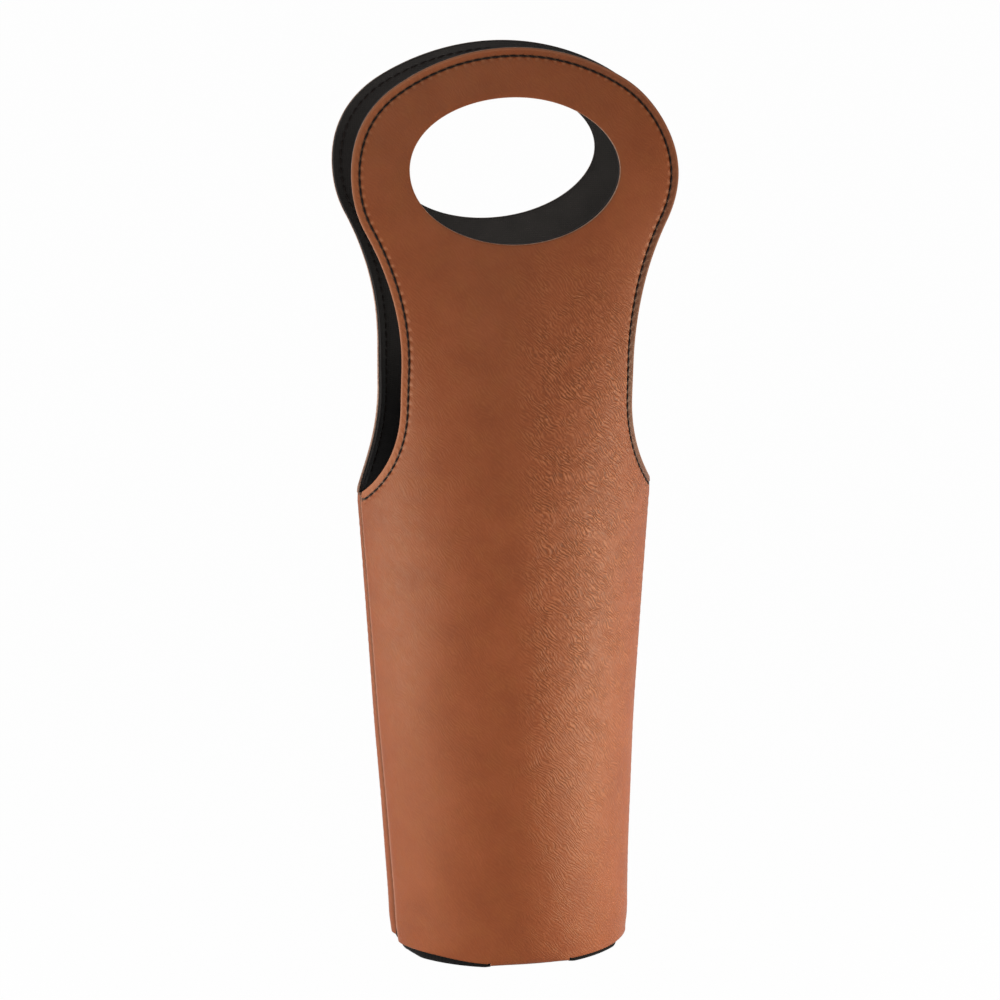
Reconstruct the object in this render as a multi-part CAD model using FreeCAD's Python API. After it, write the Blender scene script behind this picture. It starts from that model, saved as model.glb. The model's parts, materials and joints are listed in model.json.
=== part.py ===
"""A bottle carrier: a sewn sleeve on a flat base, with two handle flaps that flex at the waist.

Millimetres, +Z up. The origin is the middle of the base on the floor and the front faces -Y.
The back is the front turned half a turn about Z, so each piece is drawn once, at the front.
At rest the back handle also stands a little further open.
"""

import FreeCAD, Part
import math
import os
from FreeCAD import Vector

# Heights, from the floor up
HEM = 4.0  # lower edge of the panels
BELLY = 15.0  # where the wall is full, after curving up from the base
SEAM_TOP = 194.7  # end of the side seams and foot of the armholes
SHOULDER_DROP = 5.7  # below the seams' end, where the panels start to lean together
HINGE_RISE = 29.3  # above the seams' end, where the panels flex
ARMHOLE_RISE = 40.0  # from the armhole's foot to the end of its curve
WAIST_LENGTH = 16.0  # straight stretch of the waist
NECK_RISE = 77.0  # from the waist to the handle's widest line
HANDLE_RISE = 51.0  # from the widest line to the top
HOLE_RISE = 2.7  # middle of the hand hole above the widest line
FLAT_RISE = 16.3  # above the widest line the handle soon keeps its slight bow

# Outside sizes in plan
HEM_WIDTH, HEM_DEPTH = 97.4, 84.5
BELLY_WIDTH, BELLY_DEPTH = 99.4, 85.5
SEAM_WIDTH = 122.4  # over the turned edges where the seams end
TAPER_POWER = 1.2  # how late the sleeve widens
TOP_DEPTH = 22.0  # across both handles at their top
HANDLE_BOW = 620.0  # plan radius of the handles
LEAN_POWER = 1.5  # how late the lean comes on

# Outline of a panel seen from the front
ARMHOLE_WIDTH = 124.6  # across the feet of the armholes
WAIST_WIDTH = 97.2
HANDLE_WIDTH = 135.6
CROWN_SAG = 7.0  # top of the crown above the tops of the handle's side arcs
HOLE_WIDTH, HOLE_HEIGHT = 87.4, 59.0

# Sheet materials
LEATHERETTE = 1.0
INTERLINING = 0.6
LINING = 0.7
LAYER_GAP = 0.3  # air between layers that are only sewn together

# Side seams, turned inside and bound
FOLD_FOOT, FOLD_TOP = 6.8, 2.2  # outside radius of a panel's turned edge, at the hem and at the top
SEAM_ALLOWANCE = 4.5
SEAM_GAP = 0.1  # between the two turned edges
TAPE = 0.5
TAPE_COVER = 2.6  # how far the tape's legs reach over the allowance

# Thread
THREAD = 0.5
STITCH_INSET = 3.3  # top stitching, in from the cut edge
STITCH_LIFT = 0.1  # thread above the face that it lies on

# Base
STRAP_WIDTH = 34.5
STRAP_TUCK = 4.45  # the strap's fold on the floor, in from the hem
GUSSET = 1.0
RIM_TUCK = 2.4  # the gussets' rim on the floor, in from the hem
GUSSET_RISE = 10.0  # top of the gussets' rim
BOARD = 2.0
BASE_LINING = 0.6
BASE_GAP = 0.3  # round the strap, the gussets and the board

# Flex of the handle flaps
HINGE_MARGIN = 3.0  # the round joint outside the sheet's own sweep
HINGE_GAP = 0.3
BACK_OPEN = 2.0  # degrees that the back handle stands further open than the front one

# Loft sections and spare lengths of the cutting tools
TUCK_LEVELS = 3
BODY_LEVELS = 6
FLAP_LEVELS = 9
SPARE = 4.0
FAR = 400.0

# What follows from the sizes above
SHOULDER = SEAM_TOP - SHOULDER_DROP
HINGE = SEAM_TOP + HINGE_RISE
WAIST_LOW = SEAM_TOP + ARMHOLE_RISE
WAIST_HIGH = WAIST_LOW + WAIST_LENGTH
WIDEST = WAIST_HIGH + NECK_RISE
HEIGHT = WIDEST + HANDLE_RISE
STRAP_LINE = HEM_DEPTH / 2 - STRAP_TUCK
BOARD_LEVEL = max(LEATHERETTE, GUSSET)  # the board lies on the strap and the gussets
LAYERS = {
    "panel": (0.0, LEATHERETTE),
    "interlining": (
        LEATHERETTE + LAYER_GAP,
        LEATHERETTE + LAYER_GAP + INTERLINING,
    ),
    "lining": (
        LEATHERETTE + INTERLINING + 2 * LAYER_GAP,
        LEATHERETTE + INTERLINING + 2 * LAYER_GAP + LINING,
    ),
    "stitching": (-STITCH_LIFT - THREAD, -STITCH_LIFT),
}
STACK = LAYERS["lining"][1]
SEAM_ROOM = FOLD_FOOT + SEAM_GAP / 2  # half the room that the base leaves for a seam


def mix(low, high, share):
    return low + (high - low) * share


def smooth(share):
    share = min(1.0, max(0.0, share))
    return share * share * (3 - 2 * share)


def levels(low, high, count):
    return [mix(low, high, i / (count - 1)) for i in range(count)]


# Shape of the sleeve's outer face


def pulled_in(z):
    """Share of the hem's tuck at height z: all of it at the hem and none from the belly up."""
    return (max(0.0, BELLY - z) / (BELLY - HEM)) ** 2


def half_width(z):
    """Half the width over the turned edges, for heights up to the seams' end."""
    taper = max(0.0, (z - BELLY) / (SEAM_TOP - BELLY)) ** TAPER_POWER
    return mix(BELLY_WIDTH, SEAM_WIDTH, taper) / 2 - (BELLY_WIDTH - HEM_WIDTH) / 2 * pulled_in(z)


def half_depth(z):
    """Distance of the outer face from the middle plane, at the middle of the panel."""
    lean = max(0.0, (z - SHOULDER) / (HEIGHT - SHOULDER)) ** LEAN_POWER
    full = mix(BELLY_DEPTH, TOP_DEPTH, lean) / 2
    return full - (BELLY_DEPTH - HEM_DEPTH) / 2 * pulled_in(z)


def chord_radius(width, depth):
    """Radius of the arc over a chord of half-length width that stands depth high."""
    return (width * width + depth * depth) / (2 * depth)


def fold_radius(z):
    return mix(FOLD_FOOT, FOLD_TOP, min(1.0, (z - HEM) / (SEAM_TOP - HEM)))


def sleeve_radius(z):
    """Radius of the arc that touches the panel's face in the middle and its turned edges."""
    turn = fold_radius(z)
    across = half_width(z) - turn
    deep = half_depth(z) - turn - SEAM_GAP / 2
    return (across**2 + deep**2 - turn**2) / (2 * (deep - turn))


def plan_radius(z):
    """Radius of the panel's arc in plan: round over the sleeve, nearly flat at the handle."""
    if z <= SEAM_TOP:
        return sleeve_radius(z)
    round_part = 1 / sleeve_radius(SEAM_TOP)
    flattening = smooth((z - SEAM_TOP) / (WIDEST + FLAT_RISE - SEAM_TOP))
    return 1 / mix(round_part, 1 / HANDLE_BOW, flattening)


def plan_centre(z):
    return plan_radius(z) - half_depth(z)


# Sections in plan


def at_angle(z, depth, angle):
    """A point of the arc that lies depth inside the outer face, angle round from the front."""
    radius = plan_radius(z) - depth
    return Vector(radius * math.sin(angle), plan_centre(z) - radius * math.cos(angle), z)


def arc_edge(z, depth, start, end):
    points = [at_angle(z, depth, mix(start, end, share)) for share in (0, 0.5, 1)]
    return Part.Arc(*points).toShape()


def line_edge(start, end):
    return Part.LineSegment(start, end).toShape()


def band_wire(z, outside, inside, reach):
    """Section of a sheet between two depths, where reach(z, depth) is its half-angle."""
    far, near = reach(z, outside), reach(z, inside)
    return Part.Wire(
        [
            arc_edge(z, outside, -far, far),
            line_edge(at_angle(z, outside, far), at_angle(z, inside, near)),
            arc_edge(z, inside, near, -near),
            line_edge(at_angle(z, inside, -near), at_angle(z, outside, -far)),
        ]
    )


def touch_angle(z):
    """Half-angle at which the panel leaves its arc and turns in to the seam."""
    centre = fold_centre(z)
    return math.atan2(centre.x, plan_centre(z) - centre.y)


def reach_to_seam(z, depth):
    """Half-angle at which an inner layer stops short of the turned edge."""
    return touch_angle(z) - LAYER_GAP / (plan_radius(z) - depth)


def reach_past_outline(z, depth):
    """Half-angle that takes a sheet a little past the cut outline of the flap."""
    waist = WAIST_WIDTH / 2
    if z < WAIST_LOW:
        beyond = mix(waist, ARMHOLE_WIDTH / 2, ((WAIST_LOW - z) / ARMHOLE_RISE) ** 2)
    else:
        beyond = mix(waist, HANDLE_WIDTH / 2, smooth((z - WAIST_LOW) / NECK_RISE))
    return math.asin((beyond + SPARE) / (plan_radius(z) - depth))


def fold_centre(z):
    """Centre of the right-hand turned edge: inside the panel's arc, against the seam."""
    y = -SEAM_GAP / 2 - fold_radius(z)
    inner = plan_radius(z) - fold_radius(z)
    return Vector(math.sqrt(inner**2 - (plan_centre(z) - y) ** 2), y, z)


def mirrored(point):
    return Vector(-point.x, point.y, point.z)


def turned_face(z, depth):
    """Edges of one face of the panel, from the left allowance round to the right one."""
    centre = fold_centre(z)
    radius = fold_radius(z) - depth
    touch = touch_angle(z) - math.pi / 2
    angles = (touch, mix(touch, math.pi / 2, 0.5), math.pi / 2)
    fold = [centre + Vector(math.cos(a), math.sin(a), 0) * radius for a in angles]
    end = fold[2] - Vector(SEAM_ALLOWANCE, 0, 0)
    front = at_angle(z, depth, 0)
    return [
        line_edge(mirrored(end), mirrored(fold[2])),
        Part.Arc(*[mirrored(p) for p in reversed(fold)]).toShape(),
        Part.Arc(mirrored(fold[0]), front, fold[0]).toShape(),
        Part.Arc(*fold).toShape(),
        line_edge(fold[2], end),
    ], end


def turned_wire(z):
    """Section of the sleeve's panel with its edges turned in at both seams."""
    outer, outer_end = turned_face(z, 0.0)
    inner, inner_end = turned_face(z, LEATHERETTE)
    ends = [
        line_edge(outer_end, inner_end),
        line_edge(mirrored(inner_end), mirrored(outer_end)),
    ]
    return Part.Wire(Part.__sortEdges__(outer + inner + ends))


def loft(wires, ruled=False):
    return Part.makeLoft(wires, True, ruled)


# Outline of a panel seen from the front


def flat_point(x, z):
    return Vector(x, 0, z)


def right_outline(inset):
    """Edges of the right-hand outline, from the foot of the armhole to the top, moved in by inset."""
    foot, waist, handle = ARMHOLE_WIDTH / 2, WAIST_WIDTH / 2, HANDLE_WIDTH / 2
    rise, side = HANDLE_RISE, HANDLE_RISE - CROWN_SAG
    crown_drop = ((handle - side) ** 2 - (rise - side) ** 2) / (2 * (rise - side))
    crown = rise + crown_drop
    armhole = chord_radius(WAIST_LOW - SEAM_TOP, foot - waist)
    reach = waist - (handle - side)
    neck = (NECK_RISE**2 + reach**2 - side**2) / (2 * (side - reach))

    side_centre = flat_point(handle - side, WIDEST)
    crown_centre = flat_point(0, WIDEST - crown_drop)
    armhole_centre = flat_point(waist + armhole, WAIST_LOW)
    neck_centre = flat_point(waist + neck, WAIST_HIGH)

    foot_angle = math.pi + math.acos((waist + armhole - foot) / armhole)
    meet = side_centre - neck_centre
    neck_angle = math.atan2(meet.z, meet.x)
    shoulder = side_centre - crown_centre
    crown_angle = math.atan2(shoulder.z, shoulder.x)

    def curve(centre, radius, start, end):
        angles = (start, mix(start, end, 0.5), end)
        points = [centre + flat_point(math.cos(a), math.sin(a)) * radius for a in angles]
        return Part.Arc(*points).toShape()

    return [
        curve(armhole_centre, armhole + inset, foot_angle, math.pi),
        line_edge(
            flat_point(waist - inset, WAIST_LOW), flat_point(waist - inset, WAIST_HIGH)
        ),
        curve(neck_centre, neck + inset, math.pi, neck_angle),
        curve(side_centre, side - inset, neck_angle - math.pi, crown_angle),
        curve(crown_centre, crown - inset, crown_angle, math.pi / 2),
    ]


def outline_face(inset=0.0):
    """The panel's outline, open below: everything under the armholes is inside it."""
    right = right_outline(inset)
    left = [edge.mirror(Vector(), Vector(1, 0, 0)) for edge in right]
    foot = min((vertex.Point for vertex in right[0].Vertexes), key=lambda point: point.z)
    corners = [
        foot,
        flat_point(FAR, foot.z),
        flat_point(FAR, -FAR),
        flat_point(-FAR, -FAR),
        flat_point(-FAR, foot.z),
        mirrored(foot),
    ]
    below = [line_edge(corners[i], corners[i + 1]) for i in range(len(corners) - 1)]
    return Part.Face(Part.Wire(Part.__sortEdges__(right + left + below)))


def front_prism(face):
    """A face of the front view, carried through the front half of the carrier."""
    return face.extrude(Vector(0, -FAR, 0))


def hand_hole():
    centre = flat_point(0, WIDEST + HOLE_RISE)
    ellipse = Part.Ellipse(
        centre + flat_point(HOLE_WIDTH / 2, 0), centre + flat_point(0, HOLE_HEIGHT / 2), centre
    )
    return front_prism(Part.Face(Part.Wire(ellipse.toShape())))


def stitch_path():
    outside = outline_face(STITCH_INSET - THREAD / 2)
    inside = outline_face(STITCH_INSET + THREAD / 2)
    return front_prism(outside.cut(inside))


# The flex joint at the waist


def hinge_line():
    """The flex axis's place in Y, and the radius of the round joint that covers the sheet's bow."""
    edge = math.asin((WAIST_WIDTH / 2) / plan_radius(HINGE))
    outermost = -half_depth(HINGE)
    innermost = at_angle(HINGE, STACK, edge).y
    middle = (outermost + innermost) / 2
    return middle, (innermost - outermost) / 2 + HINGE_MARGIN


def joint_round(radius):
    middle, _ = hinge_line()
    return Part.makeCylinder(
        radius, 2 * FAR, Vector(-FAR, middle, HINGE), Vector(1, 0, 0)
    )


def above(z):
    return Part.makeBox(2 * FAR, 2 * FAR, FAR, Vector(-FAR, -FAR, z))


def flap_room():
    _, radius = hinge_line()
    return joint_round(radius - HINGE_GAP).fuse(above(HINGE))


def sleeve_cut():
    _, radius = hinge_line()
    return joint_round(radius).fuse(above(HINGE))


# Pieces of one panel


def body_levels():
    return [
        *levels(HEM, BELLY, TUCK_LEVELS)[:-1],
        *levels(BELLY, SEAM_TOP, BODY_LEVELS),
        HINGE,
    ]


def sleeve_sheet(layer):
    """An inner layer, or the stitching, from the gussets' rim up to the flex joint."""
    outside, inside = LAYERS[layer]
    wires = [band_wire(z, outside, inside, reach_to_seam) for z in body_levels()]
    sheet = loft(wires).common(above(GUSSET_RISE + BASE_GAP))
    return sheet.common(front_prism(outline_face())).cut(sleeve_cut())


def sleeve_panel():
    """The sleeve's outer sheet, with edges turned in at the seams as far up as the seams go."""
    wires = [turned_wire(z) for z in body_levels()]
    turned_edge = Vector(-FAR, -SEAM_GAP / 2 - FOLD_TOP, SEAM_TOP)
    sheet = loft(wires).cut(Part.makeBox(2 * FAR, FAR, FAR, turned_edge))
    return sheet.common(front_prism(outline_face())).cut(sleeve_cut())


def flap_sheet(layer):
    """A layer of the handle flap, from the flex joint to the top, with the hand hole."""
    outside, inside = LAYERS[layer]
    _, radius = hinge_line()
    heights = levels(HINGE - radius - SPARE, HEIGHT + SPARE, FLAP_LEVELS)
    wires = [band_wire(z, outside, inside, reach_past_outline) for z in heights]
    sheet = loft(wires).common(front_prism(outline_face()))
    return sheet.common(flap_room()).cut(hand_hole())


def flap_stitching():
    return flap_sheet("stitching").common(stitch_path())


def sleeve_stitching():
    return sleeve_sheet("stitching").common(stitch_path())


# Side seams


def right_seam_point(z, from_fold, y):
    return Vector(fold_centre(z).x - from_fold, y, z)


def polygon(points):
    return Part.makePolygon([*points, points[0]])


def seam_loft(corners):
    """A section carried up the right seam, from the gussets' rim to just below the seam's end."""
    wires = [polygon([right_seam_point(z, along, y) for along, y in corners]) for z in body_levels()]
    length = loft(wires).common(above(GUSSET_RISE + BASE_GAP))
    return length.cut(above(SEAM_TOP - STITCH_INSET - THREAD))


def right_seam_thread():
    """Thread along the allowance, between the fold and the tape."""
    near = -SEAM_GAP / 2 - LEATHERETTE - STITCH_LIFT
    far = near - THREAD
    start = (SEAM_ALLOWANCE - TAPE_COVER - THREAD) / 2
    end = start + THREAD
    return seam_loft(((start, near), (end, near), (end, far), (start, far)))


def right_seam_tape():
    """Binding folded round the raw edges of both allowances."""
    leg = SEAM_GAP / 2 + LEATHERETTE + LAYER_GAP
    edge = SEAM_ALLOWANCE + LAYER_GAP
    open_end = SEAM_ALLOWANCE - TAPE_COVER
    return seam_loft(
        (
            (open_end, -leg - TAPE),
            (edge + TAPE, -leg - TAPE),
            (edge + TAPE, leg + TAPE),
            (open_end, leg + TAPE),
            (open_end, leg),
            (edge, leg),
            (edge, -leg),
            (open_end, -leg),
        )
    )


# Base


def oval_wire(z, level, inset):
    """The sleeve's plan at a level, bridged across both seams, moved in by inset and laid at height z."""
    side = half_width(level) - inset
    bend = max(fold_radius(level) - inset, GUSSET)
    radius = plan_radius(level) - inset
    middle = side - bend
    corner = plan_centre(level) - math.sqrt((radius - bend) ** 2 - middle**2)
    touch = math.atan2(corner - plan_centre(level), middle)

    def on_bend(angle):
        return Vector(middle + bend * math.cos(angle), corner + bend * math.sin(angle), z)

    def flipped(point, x, y):
        return Vector(point.x * x, point.y * y, z)

    bend_points = [on_bend(touch), on_bend(touch / 2), on_bend(0)]
    edges = []
    for y in (1, -1):
        face = [flipped(bend_points[0], -1, y), Vector(0, -(half_depth(level) - inset) * y, z)]
        edges.append(Part.Arc(*face, flipped(bend_points[0], 1, y)).toShape())
        for x in (1, -1):
            edges.append(Part.Arc(*[flipped(p, x, y) for p in bend_points]).toShape())
    for x in (1, -1):
        edges.append(line_edge(flipped(bend_points[2], x, 1), flipped(bend_points[2], x, -1)))
    return Part.Wire(Part.__sortEdges__(edges))


def gusset_loft(inset, low):
    """Inside of the panels from the hem up, drawn in to the floor's oval below it."""
    wires = [oval_wire(low, HEM, RIM_TUCK + inset)]
    for z in levels(HEM, GUSSET_RISE, TUCK_LEVELS):
        wires.append(oval_wire(z, z, LEATHERETTE + LAYER_GAP + inset))
    return loft(wires, ruled=True)


def right_gusset():
    """Soft tray under one side of the base, notched for the turned seam."""
    tray = gusset_loft(0.0, 0.0).cut(gusset_loft(GUSSET, GUSSET))
    side = STRAP_WIDTH / 2 + BASE_GAP
    tray = tray.common(Part.makeBox(FAR, 2 * FAR, FAR, Vector(side, -FAR, 0)))
    notch = Vector(side, -SEAM_ROOM, HEM - BASE_GAP)
    return tray.cut(Part.makeBox(FAR, 2 * SEAM_ROOM, FAR, notch))


def right_base_thread():
    """Thread that sews one gusset's rim to the panels, on the rim's inner side."""
    inset = GUSSET + STITCH_LIFT
    ring = gusset_loft(inset, 0.0).cut(gusset_loft(inset + THREAD, 0.0))
    side = STRAP_WIDTH / 2 + BASE_GAP
    line = Part.makeBox(FAR, 2 * FAR, THREAD, Vector(side, -FAR, mix(HEM, GUSSET_RISE, 0.5)))
    seam = Part.makeBox(FAR, 2 * SEAM_ROOM, FAR, Vector(side, -SEAM_ROOM, 0))
    return ring.common(line).cut(seam)


def base_strap():
    """Leatherette strap under the base that runs up to both panels' hems."""
    side = STRAP_WIDTH / 2
    plate = Part.makeBox(
        STRAP_WIDTH, 2 * STRAP_LINE, LEATHERETTE, Vector(-side, -STRAP_LINE, 0)
    )
    inner_line = STRAP_LINE - LEATHERETTE
    foot = polygon(
        [
            Vector(-side, -STRAP_LINE, 0),
            Vector(side, -STRAP_LINE, 0),
            Vector(side, -inner_line, 0),
            Vector(-side, -inner_line, 0),
        ]
    )
    head = band_wire(
        HEM, 0.0, LEATHERETTE, lambda z, depth: math.asin(side / (plan_radius(z) - depth))
    )
    riser = loft([foot, head], ruled=True)
    return plate.fuse([riser, turned_back(riser)]).removeSplitter()


def base_plate(low, thickness):
    """A flat oval that lies inside the gussets and between the strap's risers."""
    inset = max(RIM_TUCK, LEATHERETTE + LAYER_GAP) + GUSSET + BASE_GAP
    oval = Part.Face(oval_wire(low, HEM, inset))
    half = STRAP_LINE - LEATHERETTE - BASE_GAP
    room = Part.makeBox(2 * FAR, 2 * half, thickness, Vector(-FAR, -half, low))
    return oval.extrude(Vector(0, 0, thickness)).common(room)


# Placing and writing


def turned_back(shape):
    copy = shape.copy()
    copy.rotate(Vector(), Vector(0, 0, 1), 180)
    return copy


def opened_back(shape):
    """Turned to the back and swung open about the flex axis there."""
    copy = turned_back(shape)
    middle, _ = hinge_line()
    copy.rotate(Vector(0, -middle, HINGE), Vector(1, 0, 0), -BACK_OPEN)
    return copy


def write(name, shape):
    solids = shape.Solids
    shape = solids[0] if len(solids) == 1 else Part.makeCompound(solids)
    state = "valid" if shape.isValid() else "INVALID"
    print(f"{name}: {len(solids)} solid(s), {shape.Volume:.1f} mm3, {state}")
    shape.exportStep(f"parts/{name}.step")


def main():
    os.makedirs("parts", exist_ok=True)
    sleeve = {
        "panel": sleeve_panel(),
        "interlining": sleeve_sheet("interlining"),
        "lining": sleeve_sheet("lining"),
        "armhole_stitching": sleeve_stitching(),
    }
    flap = {
        "handle_panel": flap_sheet("panel"),
        "handle_core": flap_sheet("interlining"),
        "handle_lining": flap_sheet("lining"),
        "handle_stitching": flap_stitching(),
    }
    right = {
        "seam_thread": right_seam_thread(),
        "seam_tape": right_seam_tape(),
        "base_gusset": right_gusset(),
        "base_thread": right_base_thread(),
    }
    for name, shape in sleeve.items():
        write(f"front_{name}", shape)
        write(f"back_{name}", turned_back(shape))
    for name, shape in flap.items():
        write(f"front_{name}", shape)
        write(f"back_{name}", opened_back(shape))
    for name, shape in right.items():
        write(f"right_{name}", shape)
        write(f"left_{name}", turned_back(shape))
    write("base_strap", base_strap())
    write("base_board", base_plate(BOARD_LEVEL, BOARD))
    write("base_lining", base_plate(BOARD_LEVEL + BOARD, BASE_LINING))
    middle, radius = hinge_line()
    print(f"flex axis at y {middle:.2f}, z {HINGE:.2f}, radius {radius:.2f}")


main()
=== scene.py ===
"""The looks of the bottle carrier: sewn leatherette panels with black lining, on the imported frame.

Shapes are drawn in millimetres, as in the part's own sizes, and written in metres.
A panel is cut in the flat, as (s, z): s is the length round its arc from the middle and z the height.
"""

import json
import math
from collections import namedtuple

import bpy
import numpy as np
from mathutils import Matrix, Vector
from mathutils.geometry import delaunay_2d_cdt


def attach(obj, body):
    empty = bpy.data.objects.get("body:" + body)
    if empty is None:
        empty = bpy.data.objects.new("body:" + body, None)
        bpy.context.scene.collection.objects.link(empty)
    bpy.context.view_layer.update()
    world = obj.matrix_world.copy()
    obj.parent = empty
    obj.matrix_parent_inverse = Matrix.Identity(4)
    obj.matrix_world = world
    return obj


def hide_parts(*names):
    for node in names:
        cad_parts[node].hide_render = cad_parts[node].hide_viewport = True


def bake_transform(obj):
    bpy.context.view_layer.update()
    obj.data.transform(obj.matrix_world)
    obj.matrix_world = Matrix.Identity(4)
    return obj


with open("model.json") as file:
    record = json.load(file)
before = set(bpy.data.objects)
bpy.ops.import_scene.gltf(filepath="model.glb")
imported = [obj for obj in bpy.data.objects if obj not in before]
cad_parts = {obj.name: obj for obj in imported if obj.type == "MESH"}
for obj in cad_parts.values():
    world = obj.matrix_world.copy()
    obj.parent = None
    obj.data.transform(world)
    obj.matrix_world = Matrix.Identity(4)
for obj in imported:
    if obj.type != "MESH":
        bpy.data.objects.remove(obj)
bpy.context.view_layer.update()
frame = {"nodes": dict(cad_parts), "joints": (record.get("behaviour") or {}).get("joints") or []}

MM = 0.001

# Sizes of the part
HEM, BELLY, SHOULDER, SEAM_TOP, HINGE = 4.0, 15.0, 189.0, 194.7, 224.0
WAIST_LOW, WAIST_HIGH, WIDEST, HEIGHT, FLAT = 234.7, 250.7, 327.7, 378.7, 344.0
HEM_WIDTH, HEM_DEPTH, BELLY_WIDTH, BELLY_DEPTH = 97.4, 85.7, 99.4, 86.4
SEAM_WIDTH, TAPER_POWER, TOP_DEPTH, HANDLE_BOW, LEAN_POWER = 122.4, 1.2, 22.0, 620.0, 1.5
ARMHOLE_WIDTH, WAIST_WIDTH, HANDLE_WIDTH, CROWN_SAG = 124.6, 97.2, 135.6, 7.0
HOLE_LEVEL, HOLE_WIDTH, HOLE_HEIGHT, HOLE_ASIDE = 330.2, 86.7, 57.9, -0.8
FOLD_FOOT, FOLD_TOP, SEAM_ALLOWANCE, SEAM_GAP = 6.8, 3.2, 4.5, 0.1
STITCH_INSET, STITCH_PITCH, STITCH_LENGTH, STITCH_SLANT = 3.3, 3.8, 3.5, 0.17
STRAP_HALF, STRAP_LINE = 17.25, 37.8
BACK_OPEN = 2.0
BEND_LOW, BEND_HIGH = 200.0, 250.0

# Depths of the layers inside the outer face
OUTER = (0.0, 1.05)
FELT = (1.1, 1.7)
LINING = (1.75, 2.75)

hinges = {joint["child"]: joint["pos_m"] for joint in frame["joints"]}
HINGE_Y = -hinges["front_handle"][1] / MM


def mix(low, high, share):
    return low + (high - low) * share


def smooth(share):
    """The same share, from 0 to 1, with a gentle start and end."""
    share = np.clip(share, 0.0, 1.0)
    return share * share * (3 - 2 * share)


def unit(vectors):
    return vectors / np.linalg.norm(vectors, axis=1)[:, None]


# Shape of the sleeve's outer face


def pulled_in(z):
    return (np.clip(BELLY - z, 0.0, BELLY - HEM) / (BELLY - HEM)) ** 2


def half_width(z):
    taper = np.clip((z - BELLY) / (SEAM_TOP - BELLY), 0.0, None) ** TAPER_POWER
    return mix(BELLY_WIDTH, SEAM_WIDTH, taper) / 2 - (BELLY_WIDTH - HEM_WIDTH) / 2 * pulled_in(z)


def half_depth(z):
    lean = np.clip((z - SHOULDER) / (HEIGHT - SHOULDER), 0.0, None) ** LEAN_POWER
    return mix(BELLY_DEPTH, TOP_DEPTH, lean) / 2 - (BELLY_DEPTH - HEM_DEPTH) / 2 * pulled_in(z)


def fold_radius(z):
    return mix(FOLD_FOOT, FOLD_TOP, np.clip((z - HEM) / (SEAM_TOP - HEM), 0.0, 1.0))


def plan_radius(z):
    low = np.clip(z, HEM, SEAM_TOP)
    bend = fold_radius(low)
    across, deep = half_width(low) - bend, half_depth(low) - bend - SEAM_GAP / 2
    bow = 2 * (deep - bend) / (across**2 + deep**2 - bend**2)
    return 1 / mix(bow, 1 / HANDLE_BOW, smooth((z - SEAM_TOP) / (FLAT - SEAM_TOP)))


Fold = namedtuple("Fold", "radius centre bend x y touch start end")


def fold(z):
    """The panel's arc at a height, the turned edge that follows it, and s where the turn starts and ends."""
    radius, bend = plan_radius(z), fold_radius(z)
    centre = radius - half_depth(z)
    y = -SEAM_GAP / 2 - bend
    x = np.sqrt(np.maximum((radius - bend) ** 2 - (centre - y) ** 2, 0.0))
    touch = np.arctan2(y - centre, x)
    start = radius * (touch + math.pi / 2)
    return Fold(radius, centre, bend, x, y, touch, start, start + bend * (math.pi / 2 - touch))


SWELL_SIDE, SWELL_FOOT, SWELL_TOP, TOP_SWELL = 14.0, 25.0, 60.0, 0.55


def waves(s, z):
    """Slow swells of the soft sheet, outwards. They die out at the turned edges and the hem."""
    swell = 0.5 * np.sin(s / 17.0 + z / 41.0 + 0.6) * np.sin(z / 29.0 - s / 60.0)
    swell += 0.3 * np.sin(s / 9.5 - z / 23.0 + 2.0) * np.sin(z / 37.0 + 1.1)
    inside = smooth((fold(z).start - np.abs(s)) / SWELL_SIDE) * smooth((z - HEM) / SWELL_FOOT)
    return swell * inside * mix(1.0, TOP_SWELL, smooth((z - SEAM_TOP) / SWELL_TOP))


# The tongue's length, the width over which it leaves the hem, and its curve
TONGUE, TONGUE_EASE = 9.0, 1.2
TONGUE_IN, TONGUE_DROP, TONGUE_REACH, TONGUE_LEVEL = 0.2, 2.8, 4.2, 0.05


def front_place(s, z, depth):
    """Where a point of the front panel's cut lies: on its arc, turned edge, allowance or tongue."""
    s, z, depth = np.broadcast_arrays(*(np.asarray(v, float) for v in (s, z, depth)))
    level = np.maximum(z, HEM)
    at = fold(level)
    side, reach = np.sign(s), np.abs(s)
    angle = reach / at.radius
    inner = at.radius - depth + waves(s, level)
    x, y = inner * np.sin(angle), at.centre - inner * np.cos(angle)
    turn = at.touch + (reach - at.start) / at.bend
    past_arc = reach > at.start
    x = np.where(past_arc, at.x + (at.bend - depth) * np.cos(turn), x)
    y = np.where(past_arc, at.y + (at.bend - depth) * np.sin(turn), y)
    past_turn = reach > at.end
    x = np.where(past_turn, at.x - (reach - at.end), x)
    y = np.where(past_turn, -SEAM_GAP / 2 - depth, y)
    place = np.stack([x * np.where(side == 0, 1, side), y, level], -1)
    under = z < HEM
    if under.any():
        drop = HEM - z[under]
        straight = place[under] - drop[:, None] * (0, 0, 1)
        held = smooth((STRAP_HALF + TONGUE_EASE - reach[under]) / TONGUE_EASE)[:, None]
        place[under] = mix(straight, tongue(place[under], drop, depth[under]), held)
    return place


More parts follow.
